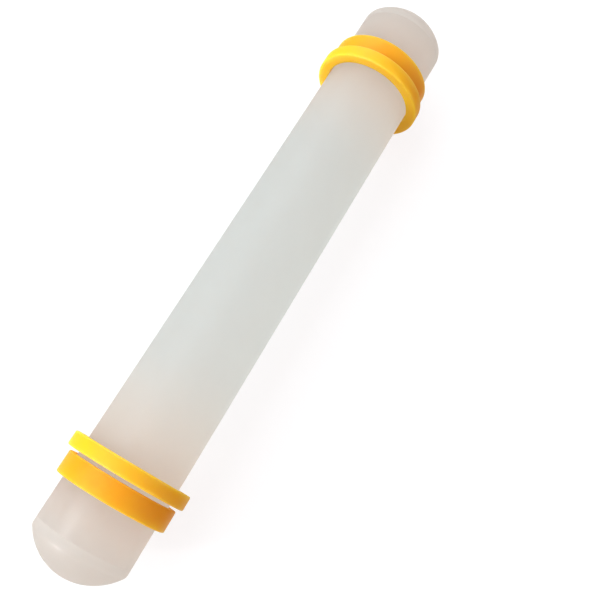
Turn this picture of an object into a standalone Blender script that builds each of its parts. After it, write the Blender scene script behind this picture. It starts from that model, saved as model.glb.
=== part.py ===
"""A small fondant rolling pin: a hollow plastic roller, closed at both ends by domed caps, that
carries four slip-on guide rings. A ring's height above the roller is the thickness it leaves the
dough.

The pin lies along X on a flat surface at Z = 0, with its middle over the origin, and rests on its
two thick rings. Left is -X and right is +X. Lengths are in metres.
"""

import math

import bmesh
import bpy
from mathutils import Matrix, Vector

MM = 0.001

# Roller tube
pin_length = 228.6 * MM
roller_diameter = 32.0 * MM
tube_wall = 2.2 * MM

# Domed end caps, pressed into the tube by a spigot
dome_height = 8.5 * MM
dome_edge_radius = 2.0 * MM
cap_rim_length = 2.5 * MM
cap_wall = 2.0 * MM
spigot_length = 9.0 * MM
spigot_wall = 1.8 * MM
spigot_lead_in = 0.6 * MM
seam_chamfer = 0.25 * MM

# Guide rings: height above the roller, and width along it
thick_ring_height = 4.2 * MM
thick_ring_width = 4.7 * MM
thick_ring_edge_radius = 0.5 * MM
thin_ring_height = 2.6 * MM
thin_ring_width = 6.9 * MM
thin_ring_edge_radius = 0.35 * MM
ring_bore_chamfer = 0.3 * MM

# Where each pair of rings has been pushed to: from the pin's tip to the thin ring, and from the
# thin ring to the thick one
left_ring_setback = 24.2 * MM
left_ring_spacing = 1.15 * MM
right_ring_setback = 25.8 * MM
right_ring_spacing = 0.2 * MM

# Clearances
ring_clearance = 0.3 * MM
spigot_clearance = 0.3 * MM
seam_gap = 0.3 * MM

# Facets. The thick rings have fewer and wider ones, which give the pin flats to rest on
facets_around = 64
thick_ring_facets = 24
dome_steps = 6
dome_inside_steps = 4
edge_steps = 2
sharp_edge_angle = math.radians(30)
weld_distance = 0.001 * MM

# Sizes that follow from the ones above
roller_radius = roller_diameter / 2
tube_bore_radius = roller_radius - tube_wall
axis_height = roller_radius + max(thick_ring_height, thin_ring_height)
tip_x = pin_length / 2
cap_shoulder_x = tip_x - dome_height - cap_rim_length


def clear_scene():
    for old in list(bpy.data.objects):
        bpy.data.objects.remove(old, do_unlink=True)


def plastic(name, colour, roughness):
    """A moulded plastic with the given base colour and roughness."""
    material = bpy.data.materials.new(name)
    material.use_nodes = True
    shader = material.node_tree.nodes["Principled BSDF"]
    shader.inputs["Base Color"].default_value = (*colour, 1.0)
    shader.inputs["Roughness"].default_value = roughness
    shader.inputs["Metallic"].default_value = 0.0
    material.diffuse_color = (*colour, 1.0)
    return material


def arc(centre, radius, start, end, steps):
    """Points (x, r) along an arc, from the start angle to the end angle, both included."""
    angles = [start + (end - start) * step / steps for step in range(steps + 1)]
    return [
        (centre[0] + radius * math.cos(angle), centre[1] + radius * math.sin(angle))
        for angle in angles
    ]


def turned_piece(name, outline, closed, facets, place_x, material):
    """Turns an outline of (x, r) points about the pin's axis into one solid.

    A closed outline makes a ring or a tube. An open one starts and ends on the axis. The facets
    lie at the outline's radii, with the corners between them a little further out, and one facet
    faces straight down. The object's origin is on the axis.
    """
    half_facet_angle = math.pi / facets
    shape = bmesh.new()
    points = [shape.verts.new((x, 0.0, r / math.cos(half_facet_angle))) for x, r in outline]
    edges = [shape.edges.new(pair) for pair in zip(points, points[1:])]
    if closed:
        edges.append(shape.edges.new((points[-1], points[0])))
    bmesh.ops.spin(
        shape,
        geom=points + edges,
        cent=Vector(),
        axis=Vector((1.0, 0.0, 0.0)),
        angle=math.tau,
        steps=facets,
        use_merge=True,
    )
    bmesh.ops.remove_doubles(shape, verts=shape.verts, dist=weld_distance)
    bmesh.ops.recalc_face_normals(shape, faces=shape.faces)
    half_facet_turn = Matrix.Rotation(half_facet_angle, 3, "X")
    bmesh.ops.rotate(shape, cent=Vector(), matrix=half_facet_turn, verts=shape.verts)
    mesh = bpy.data.meshes.new(name)
    shape.to_mesh(mesh)
    shape.free()
    mesh.materials.append(material)
    mesh.shade_smooth()
    mesh.set_sharp_from_angle(angle=sharp_edge_angle)
    piece = bpy.data.objects.new(name, mesh)
    piece.location = (place_x, 0.0, axis_height)
    bpy.context.scene.collection.objects.link(piece)


def make_roller_tube(material):
    """The straight roller wall, open right through, that stops just short of the caps' rims."""
    half = cap_shoulder_x - seam_gap
    outline = [
        (-half, tube_bore_radius),
        (-half, roller_radius - seam_chamfer),
        (-half + seam_chamfer, roller_radius),
        (half - seam_chamfer, roller_radius),
        (half, roller_radius - seam_chamfer),
        (half, tube_bore_radius),
    ]
    turned_piece("roller_tube", outline, True, facets_around, 0.0, material)


def end_cap_outline():
    """The right-hand cap's section, with x counted outwards from the shoulder at the tube's end.

    It runs from the tip over the dome, the softened edge and the rim, back along the spigot, and
    through the hollow inside to the axis again.
    """
    dome_radius = (roller_radius**2 + dome_height**2) / (2 * dome_height)
    dome_centre = (cap_rim_length + dome_height - dome_radius, 0.0)
    edge_centre_r = roller_radius - dome_edge_radius
    edge_reach = math.sqrt((dome_radius - dome_edge_radius) ** 2 - edge_centre_r**2)
    edge_centre = (dome_centre[0] + edge_reach, edge_centre_r)
    edge_start = math.atan2(edge_centre_r, edge_reach)
    dome = arc(dome_centre, dome_radius, 0.0, edge_start, dome_steps)
    edge = arc(edge_centre, dome_edge_radius, edge_start, math.pi / 2, edge_steps)

    spigot_radius = tube_bore_radius - spigot_clearance
    spigot_bore_radius = spigot_radius - spigot_wall
    inside_radius = dome_radius - cap_wall
    inside_end = math.asin(spigot_bore_radius / inside_radius)
    inside = arc(dome_centre, inside_radius, inside_end, 0.0, dome_inside_steps)

    return [
        *dome,
        *edge[1:],
        (seam_chamfer, roller_radius),
        (0.0, roller_radius - seam_chamfer),
        (0.0, spigot_radius),
        (spigot_lead_in - spigot_length, spigot_radius),
        (-spigot_length, spigot_radius - spigot_lead_in),
        (-spigot_length, spigot_bore_radius),
        *inside,
    ]


def make_end_cap(name, side, material):
    """One domed cap, whose shoulder faces the tube's end. The side is -1 for left, 1 for right."""
    outline = [(side * x, r) for x, r in end_cap_outline()]
    turned_piece(name, outline, False, facets_around, side * cap_shoulder_x, material)


def ring_outline(width, height, edge_radius):
    """A guide ring's section about its own middle: flat sides, a flat band and rounded edges."""
    half = width / 2
    bore_radius = roller_radius + ring_clearance
    corner_r = roller_radius + height - edge_radius
    corner_x = half - edge_radius
    return [
        (-half + ring_bore_chamfer, bore_radius),
        (-half, bore_radius + ring_bore_chamfer),
        *arc((-corner_x, corner_r), edge_radius, math.pi, math.pi / 2, edge_steps),
        *arc((corner_x, corner_r), edge_radius, math.pi / 2, 0.0, edge_steps),
        (half, bore_radius + ring_bore_chamfer),
        (half - ring_bore_chamfer, bore_radius),
    ]


def make_thin_ring(name, side, setback, material):
    """The low, wide ring nearer the tip."""
    outline = ring_outline(thin_ring_width, thin_ring_height, thin_ring_edge_radius)
    middle_x = tip_x - setback - thin_ring_width / 2
    turned_piece(name, outline, True, facets_around, side * middle_x, material)


def make_thick_ring(name, side, setback, spacing, material):
    """The tall, narrow ring inboard of the thin one. The pin rests on it."""
    outline = ring_outline(thick_ring_width, thick_ring_height, thick_ring_edge_radius)
    middle_x = tip_x - setback - thin_ring_width - spacing - thick_ring_width / 2
    turned_piece(name, outline, True, thick_ring_facets, side * middle_x, material)


clear_scene()
milky_plastic = plastic("milky_white_plastic", (0.62, 0.59, 0.55), 0.38)
orange_plastic = plastic("orange_ring_plastic", (0.93, 0.42, 0.012), 0.42)
yellow_plastic = plastic("yellow_ring_plastic", (0.92, 0.57, 0.016), 0.42)

make_roller_tube(milky_plastic)
make_end_cap("left_end_cap", -1, milky_plastic)
make_end_cap("right_end_cap", 1, milky_plastic)
make_thin_ring("left_thin_ring", -1, left_ring_setback, orange_plastic)
make_thin_ring("right_thin_ring", 1, right_ring_setback, orange_plastic)
make_thick_ring("left_thick_ring", -1, left_ring_setback, left_ring_spacing, yellow_plastic)
make_thick_ring("right_thick_ring", 1, right_ring_setback, right_ring_spacing, yellow_plastic)
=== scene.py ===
import math

import bmesh
import bpy
from mathutils import Matrix, Quaternion, Vector


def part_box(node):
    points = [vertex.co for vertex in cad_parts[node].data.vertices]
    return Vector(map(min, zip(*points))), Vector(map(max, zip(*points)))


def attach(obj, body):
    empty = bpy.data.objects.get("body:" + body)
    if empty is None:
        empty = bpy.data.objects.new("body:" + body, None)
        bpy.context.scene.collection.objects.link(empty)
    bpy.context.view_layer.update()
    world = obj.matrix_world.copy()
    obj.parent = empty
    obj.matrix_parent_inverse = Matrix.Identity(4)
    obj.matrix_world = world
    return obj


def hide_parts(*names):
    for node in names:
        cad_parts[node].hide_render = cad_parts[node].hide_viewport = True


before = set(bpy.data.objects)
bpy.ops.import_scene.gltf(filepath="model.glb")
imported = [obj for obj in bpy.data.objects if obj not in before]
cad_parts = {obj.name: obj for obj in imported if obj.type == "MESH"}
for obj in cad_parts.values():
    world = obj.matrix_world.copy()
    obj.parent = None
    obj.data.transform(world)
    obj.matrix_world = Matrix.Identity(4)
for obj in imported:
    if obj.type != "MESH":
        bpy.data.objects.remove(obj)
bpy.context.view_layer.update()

# The roller. A cloudy white plastic tube with a domed cap pressed into each end. The three pieces
# meet flush at a hairline joint, so the roller is shown as one skin with that joint cut into it.
MM = 0.001
STEPS_AROUND = 192
DOME_STEPS = 128
EDGE_STEPS = 12
SHARP_EDGE_ANGLE = math.radians(32)
WELD_DISTANCE = 0.0005 * MM
DOME_HEIGHT = 8.5 * MM
DOME_EDGE_RADIUS = 2.0 * MM
JOINT_HALF_WIDTH = 0.05 * MM
JOINT_DEPTH = 0.03 * MM
GATE_MARK_RADIUS = 1.5 * MM
GATE_MARK_DEPTH = 0.10 * MM
GATE_STUB_RADIUS = 0.55 * MM
SPIGOT_LENGTH = 9.0 * MM

tube_low, tube_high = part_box("roller_tube")
axis_height = (tube_low[2] + tube_high[2]) / 2
roller_radius = (tube_high[2] - tube_low[2]) / 2
tip_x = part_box("right_end_cap")[1][0]
joint_x = (tube_high[0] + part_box("right_end_cap")[0][0] + SPIGOT_LENGTH) / 2


def arc(centre, radius, start, end, steps):
    """Points (x, r) along an arc, with both of its ends. Angles are in degrees."""
    angles = [math.radians(start + (end - start) * step / steps) for step in range(steps + 1)]
    return [
        (centre[0] + radius * math.cos(angle), centre[1] + radius * math.sin(angle))
        for angle in angles
    ]


def turned(name, outline, closed, middle_x):
    """A piece turned about the pin's axis from an outline of (x, r) points, set in its place."""
    shape = bmesh.new()
    points = [shape.verts.new((x, 0.0, r)) for x, r in outline]
    edges = [shape.edges.new(pair) for pair in zip(points, points[1:])]
    if closed:
        edges.append(shape.edges.new((points[-1], points[0])))
    bmesh.ops.spin(
        shape,
        geom=points + edges,
        cent=Vector(),
        axis=Vector((1, 0, 0)),
        angle=math.tau,
        steps=STEPS_AROUND,
        use_merge=True,
    )
    bmesh.ops.remove_doubles(shape, verts=shape.verts, dist=WELD_DISTANCE)
    bmesh.ops.recalc_face_normals(shape, faces=shape.faces)
    mesh = bpy.data.meshes.new(name)
    shape.to_mesh(mesh)
    shape.free()
    mesh.shade_smooth()
    mesh.set_sharp_from_angle(angle=SHARP_EDGE_ANGLE)
    piece = bpy.data.objects.new(name, mesh)
    piece.location = (middle_x, 0, axis_height)
    bpy.context.scene.collection.objects.link(piece)
    return piece


def gate_mark(r):
    """How far the shallow mark at the middle of a dome, left by the mould's gate, is sunk."""
    if r >= GATE_MARK_RADIUS or r <= GATE_STUB_RADIUS:
        return 0.0
    across = (r - GATE_STUB_RADIUS) / (GATE_MARK_RADIUS - GATE_STUB_RADIUS)
    return GATE_MARK_DEPTH * math.sin(math.pi * across) ** 2


def half_roller():
    """The roller's outline from its right-hand joint, over the softened edge, to the tip."""
    dome_radius = (roller_radius**2 + DOME_HEIGHT**2) / (2 * DOME_HEIGHT)
    dome_middle = tip_x - dome_radius
    edge_r = roller_radius - DOME_EDGE_RADIUS
    edge_reach = math.sqrt((dome_radius - DOME_EDGE_RADIUS) ** 2 - edge_r**2)
    edge_start = math.degrees(math.atan2(edge_r, edge_reach))
    dome = arc((dome_middle, 0), dome_radius, edge_start, 0, DOME_STEPS)
    return [
        (joint_x - JOINT_HALF_WIDTH, roller_radius),
        (joint_x, roller_radius - JOINT_DEPTH),
        (joint_x + JOINT_HALF_WIDTH, roller_radius),
        *arc((dome_middle + edge_reach, edge_r), DOME_EDGE_RADIUS, 90, edge_start, EDGE_STEPS),
        *[(x - gate_mark(r), r) for x, r in dome[1:]],
    ]


def shader_group(name, inputs, outputs):
    """An empty shader group, from rows of socket name, socket kind and starting value."""
    group = bpy.data.node_groups.new(name, "ShaderNodeTree")
    for label, kind, value in inputs:
        group.interface.new_socket(label, in_out="INPUT", socket_type=kind).default_value = value
    for label, kind in outputs:
        group.interface.new_socket(label, in_out="OUTPUT", socket_type=kind)
    return group, group.nodes.new("NodeGroupInput"), group.nodes.new("NodeGroupOutput")


def fill(tree, node, inputs):
    """Gives a node's inputs their values, or links them to other nodes' outputs."""
    for key, value in inputs.items():
        if isinstance(value, bpy.types.NodeSocket):
            tree.links.new(value, node.inputs[key])
        else:
            node.inputs[key].default_value = value
    return node


def add(tree, kind, inputs=None, **settings):
    """A new node of that kind, with its settings and inputs."""
    node = tree.nodes.new("ShaderNode" + kind)
    for key, value in settings.items():
        setattr(node, key, value)
    return fill(tree, node, inputs or {})


def place(tree, group, **inputs):
    """A shader group set into a material. Spaces in its inputs' names are written as _."""
    node = tree.nodes.new("ShaderNodeGroup")
    node.node_tree = group
    return fill(tree, node, {key.replace("_", " "): value for key, value in inputs.items()})


def maths(tree, operation, *values):
    """The result of one sum, from numbers or other nodes' outputs."""
    return add(tree, "Math", dict(enumerate(values)), operation=operation).outputs[0]


def ramp(tree, value, low, high, to_low=0.0, to_high=1.0, smooth=False):
    """Carries a value from one range to another, and stops at its ends."""
    return add(
        tree,
        "MapRange",
        {0: value, 1: low, 2: high, 3: to_low, 4: to_high},
        interpolation_type="SMOOTHSTEP" if smooth else "LINEAR",
    ).outputs[0]


def colour_between(tree, share, first, second):
    """A mix of two colours, in which the share is that of the second."""
    return add(tree, "Mix", {0: share, 6: first, 7: second}, data_type="RGBA").outputs[2]


def stretched_noise(tree, stretch, scale, detail, roughness):
    """Noise on the piece's own coordinates, drawn out along the axis that stretch makes small."""
    where = add(tree, "TexCoord").outputs["Object"]
    drawn = add(tree, "VectorMath", {0: where, 1: stretch}, operation="MULTIPLY").outputs[0]
    noise = add(
        tree,
        "TexNoise",
        {"Vector": drawn, "Scale": scale, "Detail": detail, "Roughness": roughness},
    )
    return noise.outputs[0]


# Most of a noise lies between the first two values, and a scratch is at its fullest at the third.
# The last says how much higher shrinkage waves stand than the pebble.
NOISE_LOW = 0.3
NOISE_HIGH = 0.7
SCRATCH_FULL = 0.85
SHRINKAGE_SHARE = 3.0


def build_clouding():
    """Soft clouds, where the pigment lies a little thicker or thinner in the plastic."""
    group, given, made = shader_group(
        "clouding",
        [
            ("Plain", "NodeSocketColor", (1, 1, 1, 1)),
            ("Clouded", "NodeSocketColor", (1, 1, 1, 1)),
            ("Stretch", "NodeSocketVector", (1, 1, 1)),
            ("Scale", "NodeSocketFloat", 60),
        ],
        [("Color", "NodeSocketColor"), ("Cloud", "NodeSocketFloat")],
    )
    noise = stretched_noise(group, given.outputs["Stretch"], given.outputs["Scale"], 3, 0.5)
    cloud = ramp(group, noise, NOISE_LOW, NOISE_HIGH)
    colour = colour_between(group, cloud, given.outputs["Plain"], given.outputs["Clouded"])
    fill(group, made, {"Color": colour, "Cloud": cloud})
    return group


def build_fine_lines():
    """Hair-fine lines along one direction, such as a die or long handling leaves."""
    group, given, made = shader_group(
        "fine_lines",
        [
            ("Stretch", "NodeSocketVector", (1, 1, 1)),
            ("Scale", "NodeSocketFloat", 1000),
            ("Threshold", "NodeSocketFloat", 0.6),
        ],
        [("Height", "NodeSocketFloat"), ("Scratches", "NodeSocketFloat")],
    )
    noise = stretched_noise(group, given.outputs["Stretch"], given.outputs["Scale"], 4, 0.6)
    few = ramp(group, noise, given.outputs["Threshold"], SCRATCH_FULL)
    fill(group, made, {"Height": noise, "Scratches": few})
    return group


def build_moulded_skin():
    """The fine, even pebble of a mould's blasted wall, and slow waves where the plastic shrank."""
    group, given, made = shader_group(
        "moulded_skin",
        [("Pebble", "NodeSocketFloat", 4000), ("Shrinkage", "NodeSocketFloat", 150)],
        [("Height", "NodeSocketFloat")],
    )
    pebble = stretched_noise(group, (1, 1, 1), given.outputs["Pebble"], 2, 0.5)
    waves = stretched_noise(group, (1, 1, 1), given.outputs["Shrinkage"], 1, 0.4)
    height = maths(group, "MULTIPLY_ADD", waves, SHRINKAGE_SHARE, pebble)
    fill(group, made, {"Height": height})
    return group


clouding = build_clouding()
fine_lines = build_fine_lines()
moulded_skin = build_moulded_skin()

MILK_COOL = (0.717, 0.719, 0.694, 1)
MILK_COOL_CLOUD = (0.709, 0.710, 0.683, 1)
# The warm colours near the ends are partly painted light: paler than the plastic's own tone, to
# lift the shade beside the rings.
MILK_WARM_PAINTED_LIGHT = (0.796, 0.752, 0.696, 1)
MILK_WARM_CLOUD_PAINTED_LIGHT = (0.785, 0.737, 0.681, 1)
MILK_CAP = (0.729, 0.693, 0.650, 1)
MILK_CAP_CLOUD = (0.719, 0.681, 0.635, 1)
MILK_LIGHT_SPREAD = 0.07
MILK_SPREAD_BY_COLOUR = (1.0, 0.85, 0.7)
MILK_LETS_THROUGH = 0.80
MILK_MIRRORING = 0.42
MILK_SMOOTHEST = 0.28
MILK_ROUGHEST = 0.34
MILK_RELIEF = 0.004 * MM
RELIEF_STRENGTH = 0.6
DIE_LINE_LOW = 0.25
DIE_LINE_HIGH = 0.75
DIE_LINE_SHARE = 1.2
RING_RUB_DULLING = 0.12
COOL_REACH = 40 * MM
WARM_START = 72 * MM
CAP_BLEND_START = 96 * MM
CAP_BLEND_END = 105 * MM


def build_milky_plastic():
    """Cloudy white plastic. Most light goes through the thin wall into the hollow roller and out
    again all round, so its shaded side stays pale. It is cooler between the rings and warmer and
    paler towards the ends: partly the plastic's own tone, partly painted light that lifts the
    shade the rings cast beside them. The caps are a shade deeper."""
    material = bpy.data.materials.new("milky_plastic")
    material.use_nodes = True
    tree = material.node_tree
    shader = tree.nodes["Principled BSDF"]
    shader.subsurface_method = "RANDOM_WALK_SKIN"
    along = add(tree, "SeparateXYZ", {0: add(tree, "TexCoord").outputs["Object"]}).outputs[0]
    from_middle = maths(tree, "ABSOLUTE", along)
    near_ends = ramp(tree, from_middle, COOL_REACH, WARM_START, smooth=True)
    drawn_out = {"Stretch": (0.35, 1, 1), "Scale": 55}
    cool = place(tree, clouding, Plain=MILK_COOL, Clouded=MILK_COOL_CLOUD, **drawn_out)
    # The warm end colour carries painted light that lifts the shade beside the rings.
    warm_painted_light = place(tree, clouding, Plain=MILK_WARM_PAINTED_LIGHT, Clouded=MILK_WARM_CLOUD_PAINTED_LIGHT, **drawn_out)
    cap = place(tree, clouding, Plain=MILK_CAP, Clouded=MILK_CAP_CLOUD, **drawn_out)
    wall = colour_between(tree, near_ends, cool.outputs["Color"], warm_painted_light.outputs["Color"])
    on_cap = ramp(tree, from_middle, CAP_BLEND_START, CAP_BLEND_END, smooth=True)
    base = colour_between(tree, on_cap, wall, cap.outputs["Color"])
    die_lines = place(tree, fine_lines, Stretch=(0.02, 1, 1), Scale=1400, Threshold=0.6)
    rubbed = place(tree, fine_lines, Stretch=(0.06, 1, 1), Scale=2600, Threshold=0.66)
    ring_rub = maths(tree, "MULTIPLY", rubbed.outputs["Scratches"], near_ends)
    dulling = maths(tree, "MULTIPLY", ring_rub, RING_RUB_DULLING)
    lines = die_lines.outputs["Height"]
    satin = ramp(tree, lines, DIE_LINE_LOW, DIE_LINE_HIGH, MILK_SMOOTHEST, MILK_ROUGHEST)
    skin = place(tree, moulded_skin, Pebble=3500, Shrinkage=90)
    height = maths(tree, "MULTIPLY_ADD", lines, DIE_LINE_SHARE, skin.outputs["Height"])
    relief = {"Height": height, "Distance": MILK_RELIEF, "Strength": RELIEF_STRENGTH}
    bump = add(tree, "Bump", relief)
    fill(
        tree,
        shader,
        {
            "Base Color": base,
            "Roughness": maths(tree, "ADD", satin, dulling),
            "Normal": bump.outputs[0],
            "Specular IOR Level": MILK_MIRRORING,
            "Subsurface Weight": 1.0,
            "Subsurface Radius": MILK_SPREAD_BY_COLOUR,
            "Subsurface Scale": MILK_LIGHT_SPREAD,
        },
    )
    through = add(tree, "BsdfTranslucent", {"Color": base, "Normal": bump.outputs[0]}).outputs[0]
    plastic = add(tree, "MixShader", {0: MILK_LETS_THROUGH, 1: shader.outputs[0], 2: through})
    fill(tree, tree.nodes["Material Output"], {"Surface": plastic.outputs[0]})
    return material


right_half = half_roller()
left_half = [(-x, r) for x, r in reversed(right_half)]
roller = turned("milky_roller", left_half + right_half, False, 0.0)
roller.data.materials.append(build_milky_plastic())
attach(roller, "roller")
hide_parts("roller_tube", "left_end_cap", "right_end_cap")

# The guide rings. Each is a band of coloured plastic, moulded in one piece, that slips along the
# roller: the yellow one stands high and narrow, the orange one low and wide. A ring's height sets
# how thick the dough is left.
RING_FIT = 0.25 * MM
BORE_CHAMFER = 0.3 * MM
YELLOW_EDGE_RADIUS = 0.5 * MM
ORANGE_EDGE_RADIUS = 0.35 * MM
WITNESS_HALF_WIDTH = 0.05 * MM
WITNESS_DEPTH = 0.03 * MM
RING_LIGHT_SPREAD = 0.03
RING_SPREAD_BY_COLOUR = (1.0, 0.07, 0.04)
RING_MIRRORING = 0.15
RING_SMOOTHEST = 0.44
RING_ROUGHEST = 0.50
RING_RELIEF = 0.006 * MM
ROLLING_MARK_SHARE = 0.8
ROLLING_MARK_DULLING = 0.10
WORN_EDGE_DULLING = 0.06
WORN_EDGE_REACH = 1.3
WORN_PATCH_LEAST = 0.45


def ring_outline(half_width, band_radius, edge_radius):
    """A section through a ring about its own middle. Its outer edges are rounded, its bore is
    chamfered, and a hairline shows where the mould's halves met beside the inboard edge."""
    bore = roller_radius + RING_FIT
    corner_x, corner_r = half_width - edge_radius, band_radius - edge_radius
    witness_x = corner_x - 2 * WITNESS_HALF_WIDTH
    return [
        (-half_width + BORE_CHAMFER, bore),
        (-half_width, bore + BORE_CHAMFER),
        *arc((-corner_x, corner_r), edge_radius, 180, 90, EDGE_STEPS),
        (witness_x - WITNESS_HALF_WIDTH, band_radius),
        (witness_x, band_radius - WITNESS_DEPTH),
        (witness_x + WITNESS_HALF_WIDTH, band_radius),
        *arc((corner_x, corner_r), edge_radius, 90, 0, EDGE_STEPS),
        (half_width, bore + BORE_CHAMFER),
        (half_width - BORE_CHAMFER, bore),
    ]


def build_worn_edges():
    """Two rounded edges, at equal distances from the piece's middle, rubbed lighter by use."""
    group, given, made = shader_group(
        "worn_edges",
        [
            ("Plain", "NodeSocketColor", (1, 1, 1, 1)),
            ("Rubbed", "NodeSocketColor", (1, 1, 1, 1)),
            ("Edge Start", "NodeSocketFloat", 0.001),
            ("Edge End", "NodeSocketFloat", 0.002),
            ("Amount", "NodeSocketFloat", 0.5),
        ],
        [("Color", "NodeSocketColor"), ("Edge", "NodeSocketFloat")],
    )
    where = add(group, "TexCoord").outputs["Object"]
    out = maths(group, "ABSOLUTE", add(group, "SeparateXYZ", {0: where}).outputs[0])
    near = ramp(group, out, given.outputs["Edge Start"], given.outputs["Edge End"], smooth=True)
    patches = stretched_noise(group, (1, 1, 1), 420, 3, 0.6)
    patchy = ramp(group, patches, NOISE_LOW, NOISE_HIGH, WORN_PATCH_LEAST, 1.0)
    worn = maths(group, "MULTIPLY", maths(group, "MULTIPLY", near, patchy), given.outputs["Amount"])
    colour = colour_between(group, worn, given.outputs["Plain"], given.outputs["Rubbed"])
    fill(group, made, {"Color": colour, "Edge": worn})
    return group


worn_edges = build_worn_edges()


def build_ring_plastic(name, plain, clouded, rubbed, half_width, edge_radius):
    """Solid-coloured satin plastic. Red light spreads far through it, so its shaded side turns
    towards orange. Its rounded edges are rubbed lighter and its band has fine rolling marks."""
    material = bpy.data.materials.new(name)
    material.use_nodes = True
    tree = material.node_tree
    shader = tree.nodes["Principled BSDF"]
    shader.subsurface_method = "RANDOM_WALK_SKIN"
    flow = place(tree, clouding, Plain=plain, Clouded=clouded, Stretch=(1.6, 0.7, 0.7), Scale=110)
    edges = place(
        tree,
        worn_edges,
        Plain=flow.outputs["Color"],
        Rubbed=rubbed,
        Edge_Start=half_width - WORN_EDGE_REACH * edge_radius,
        Edge_End=half_width,
        Amount=0.7,
    )
    rolling = place(tree, fine_lines, Stretch=(1, 0.05, 0.05), Scale=3200, Threshold=0.6)
    skin = place(tree, moulded_skin, Pebble=4200, Shrinkage=160)
    satin = ramp(tree, flow.outputs["Cloud"], 0.0, 1.0, RING_SMOOTHEST, RING_ROUGHEST)
    marks, scratches = rolling.outputs["Height"], rolling.outputs["Scratches"]
    marked = maths(tree, "MULTIPLY_ADD", scratches, ROLLING_MARK_DULLING, satin)
    roughness = maths(tree, "MULTIPLY_ADD", edges.outputs["Edge"], WORN_EDGE_DULLING, marked)
    height = maths(tree, "MULTIPLY_ADD", marks, ROLLING_MARK_SHARE, skin.outputs["Height"])
    relief = {"Height": height, "Distance": RING_RELIEF, "Strength": RELIEF_STRENGTH}
    bump = add(tree, "Bump", relief)
    fill(
        tree,
        shader,
        {
            "Base Color": edges.outputs["Color"],
            "Roughness": roughness,
            "Normal": bump.outputs[0],
            "Specular IOR Level": RING_MIRRORING,
            "Subsurface Weight": 1.0,
            "Subsurface Radius": RING_SPREAD_BY_COLOUR,
            "Subsurface Scale": RING_LIGHT_SPREAD,
        },
    )
    return material


def make_rings(colour_name, thickness, edge_radius, plain, clouded, rubbed):
    """The left and the right ring of one colour, sized and placed by their CAD rings."""
    low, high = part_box(f"left_{thickness}_ring")
    half_width, band_radius = (high[0] - low[0]) / 2, (high[2] - low[2]) / 2
    outline = ring_outline(half_width, band_radius, edge_radius)
    plastic = build_ring_plastic(
        f"{colour_name}_ring_plastic", plain, clouded, rubbed, half_width, edge_radius
    )
    for end, inboard in (("left", 1), ("right", -1)):
        low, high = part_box(f"{end}_{thickness}_ring")
        section = [(inboard * x, r) for x, r in outline]
        ring = turned(f"{end}_{colour_name}_ring", section, True, (low[0] + high[0]) / 2)
        ring.data.materials.append(plastic)
        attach(ring, f"{end}_{thickness}")
        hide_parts(f"{end}_{thickness}_ring")


make_rings(
    "yellow",
    "thick",
    YELLOW_EDGE_RADIUS,
    plain=(0.930, 0.418, 0.006, 1),
    clouded=(0.915, 0.400, 0.005, 1),
    rubbed=(0.940, 0.452, 0.012, 1),
)
make_rings(
    "orange",
    "thin",
    ORANGE_EDGE_RADIUS,
    plain=(0.950, 0.285, 0.003, 1),
    clouded=(0.940, 0.268, 0.003, 1),
    rubbed=(0.960, 0.325, 0.008, 1),
)

# The studio. A plain white table under a faintly rosy glow from all round. One wide, soft, cool
# lamp is high on the far side, and a small one stands beyond the left end. A third is only
# mirrored, as the glint on the left dome's edge.
TABLE_REACH = 4.0
TABLE_WHITE = (0.8, 0.8, 0.8, 1)
TABLE_SHADOW_GREY = (0.22, 0.22, 0.22, 1)
TABLE_GLOW = 0.84
COOL_WHITE = (0.78, 0.935, 1.0)
PLAIN_WHITE = (1.0, 1.0, 1.0)
ROSY_WHITE = (1.0, 0.73, 0.74, 1)
ROSY_GLOW = 0.52
BACKGROUND_WHITE = (1, 1, 1, 1)


def white_to_the_eye(tree):
    """1 for rays from the camera and for those seen in gloss or through glass, otherwise 0."""
    path = add(tree, "LightPath").outputs
    either = maths(tree, "MAXIMUM", path["Is Camera Ray"], path["Is Glossy Ray"])
    return maths(tree, "MAXIMUM", either, path["Is Transmission Ray"])


table_mesh = bpy.data.meshes.new("studio_table")
signs = [(-1, -1), (1, -1), (1, 1), (-1, 1)]
corners = [(x * TABLE_REACH, y * TABLE_REACH, 0) for x, y in signs]
table_mesh.from_pydata(corners, [], [(0, 1, 2, 3)])
table_white = bpy.data.materials.new("studio_table")
table_white.use_nodes = True
tree = table_white.node_tree
tree.nodes.clear()
lit = add(tree, "BsdfDiffuse", {"Color": TABLE_WHITE}).outputs[0]
shadowed = add(tree, "BsdfDiffuse", {"Color": TABLE_SHADOW_GREY}).outputs[0]
glow = add(tree, "Emission", {"Color": BACKGROUND_WHITE, "Strength": TABLE_GLOW}).outputs[0]
seen = add(tree, "AddShader", {0: shadowed, 1: glow}).outputs[0]
surface = add(tree, "MixShader", {0: white_to_the_eye(tree), 1: lit, 2: seen}).outputs[0]
add(tree, "OutputMaterial", {"Surface": surface})
table = bpy.data.objects.new("studio_table", table_mesh)
table.data.materials.append(table_white)
bpy.context.scene.collection.objects.link(table)


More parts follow.
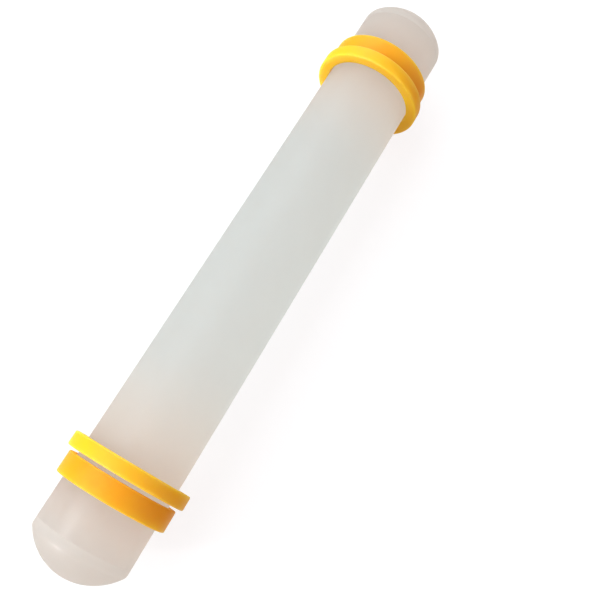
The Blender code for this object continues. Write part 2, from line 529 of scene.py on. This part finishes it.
def soft_lamp(name, direction, distance, width, height, watts, colour, only_in_gloss=False):
    """A rectangular lamp, out of the picture, that faces the middle of the pin from a direction.
    One that is only in gloss is mirrored there and throws no light."""
    light = bpy.data.lights.new(name, "AREA")
    light.shape = "RECTANGLE"
    light.size, light.size_y = width, height
    light.energy, light.color = watts, colour
    lamp = bpy.data.objects.new(name, light)
    outward = Vector(direction).normalized()
    lamp.location = outward * distance
    lamp.rotation_euler = (-outward).to_track_quat("-Z", "Y").to_euler()
    lamp.visible_camera = False
    lamp.visible_diffuse = lamp.visible_transmission = not only_in_gloss
    bpy.context.scene.collection.objects.link(lamp)


soft_lamp(
    "key_lamp",
    direction=(0, 1.1, 1),
    distance=0.74,
    width=1.8,
    height=0.7,
    watts=12.0,
    colour=COOL_WHITE,
)
soft_lamp(
    "side_lamp",
    direction=(-0.694, 0.548, 0.468),
    distance=0.69,
    width=0.06,
    height=0.06,
    watts=1.4,
    colour=PLAIN_WHITE,
)
soft_lamp(
    "glint_lamp",
    direction=(-0.885, 0.428, 0.183),
    distance=0.70,
    width=0.16,
    height=0.16,
    watts=6.5,
    colour=PLAIN_WHITE,
    only_in_gloss=True,
)

world = bpy.data.worlds.new("studio_air")
bpy.context.scene.world = world
world.use_nodes = True
tree = world.node_tree
tree.nodes.clear()
dim = add(tree, "Background", {"Color": ROSY_WHITE, "Strength": ROSY_GLOW}).outputs[0]
white = add(tree, "Background", {"Color": BACKGROUND_WHITE, "Strength": 1.0}).outputs[0]
sky = add(tree, "MixShader", {0: white_to_the_eye(tree), 1: dim, 2: white}).outputs[0]
add(tree, "OutputWorld", {"Surface": sky})

# The camera. It looks down from above the pin's left half, rolled so that the pin runs from the
# lower left of the picture to the upper right.
CAMERA_PLACE = Vector((-75.27, 0.0, 244.77)) * MM
CAMERA_AIM = Vector((2.06, -19.52, 0.0)) * MM
CAMERA_ROLL = math.radians(57.74)
LENS_MM = 41.644
SENSOR_MM = 36.0
NEAREST_SEEN = 10 * MM

forward = (CAMERA_AIM - CAMERA_PLACE).normalized()
level = (Vector((0, 1, 0)) - forward * forward.y).normalized()
up = Quaternion(forward, CAMERA_ROLL) @ level
lens = bpy.data.cameras.new("camera")
lens.lens = LENS_MM
lens.sensor_width = SENSOR_MM
lens.clip_start = NEAREST_SEEN
camera = bpy.data.objects.new("camera", lens)
axes = Matrix((forward.cross(up), up, -forward)).transposed()
camera.matrix_world = Matrix.Translation(CAMERA_PLACE) @ axes.to_4x4()
bpy.context.scene.collection.objects.link(camera)
bpy.context.scene.camera = camera
bpy.context.scene.view_settings.view_transform = "Standard"
